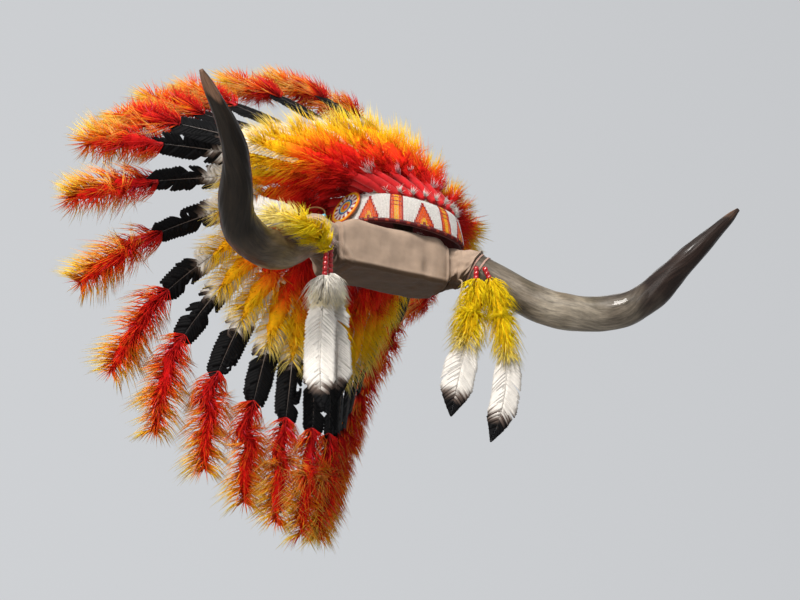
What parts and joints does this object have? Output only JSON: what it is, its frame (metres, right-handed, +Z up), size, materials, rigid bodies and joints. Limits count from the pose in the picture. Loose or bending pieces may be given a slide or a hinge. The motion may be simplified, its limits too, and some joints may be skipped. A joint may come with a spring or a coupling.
{
  "type": "feathered headdress on a horned, leather-wrapped stand",
  "caption": "Fan of red, yellow, white and black feathers with fluffy tips on a beaded browband cap, resting on a leather-wrapped block with two swept horns and hanging drops.",
  "frame": {"origin": "middle of the leather block's flat underside, where a post carries it", "axes": "+Z up, the front faces -Y, the horns spread along X"},
  "size_m": [0.8114, 0.7258, 0.7453],
  "materials": {
    "block_leather": "soft suede",
    "horn_dark": "polished horn",
    "horn_pale": "polished horn",
    "peg_wood": "plain",
    "cap_felt": "felt",
    "beadwork": "glossy seed beads",
    "binding_cloth": "felt",
    "rosette_beads": "glossy seed beads",
    "crown_feathers": "feather",
    "red_beads": "glossy",
    "yellow_drop": "feather",
    "white_drop": "feather"
  },
  "bodies": {
    "root": {"leather_block": "block_leather", "horn_left": "horn_dark", "horn_right": "horn_pale", "crown_peg": "peg_wood", "crown_cap": "cap_felt", "browband": "beadwork", "band_binding": "binding_cloth", "rosette_left": "rosette_beads", "rosette_right": "rosette_beads", "feather_left_01": "crown_feathers", "feather_left_02": "crown_feathers", "feather_left_03": "crown_feathers", "feather_left_04": "crown_feathers", "feather_left_05": "crown_feathers", "feather_left_06": "crown_feathers", "feather_left_07": "crown_feathers", "feather_left_08": "crown_feathers", "feather_left_09": "crown_feathers", "feather_left_10": "crown_feathers", "feather_left_11": "crown_feathers", "feather_left_12": "crown_feathers", "feather_left_13": "crown_feathers", "feather_left_14": "crown_feathers", "feather_right_01": "crown_feathers", "feather_right_02": "crown_feathers", "feather_right_03": "crown_feathers", "feather_right_04": "crown_feathers", "feather_right_05": "crown_feathers", "feather_right_06": "crown_feathers", "feather_right_07": "crown_feathers", "feather_right_08": "crown_feathers", "feather_right_09": "crown_feathers", "feather_right_10": "crown_feathers", "feather_right_11": "crown_feathers", "feather_right_12": "crown_feathers", "feather_right_13": "crown_feathers", "feather_right_14": "crown_feathers", "beads_right_inner": "red_beads", "beads_right_outer": "red_beads", "beads_left_outer": "red_beads", "beads_left_inner": "red_beads", "drop_feather_right_inner": "yellow_drop", "drop_feather_right_outer": "yellow_drop", "drop_feather_left_outer": "white_drop", "drop_feather_left_inner": "white_drop", "drop_feather_over_horn": "yellow_drop"}
  },
  "joints": []
}
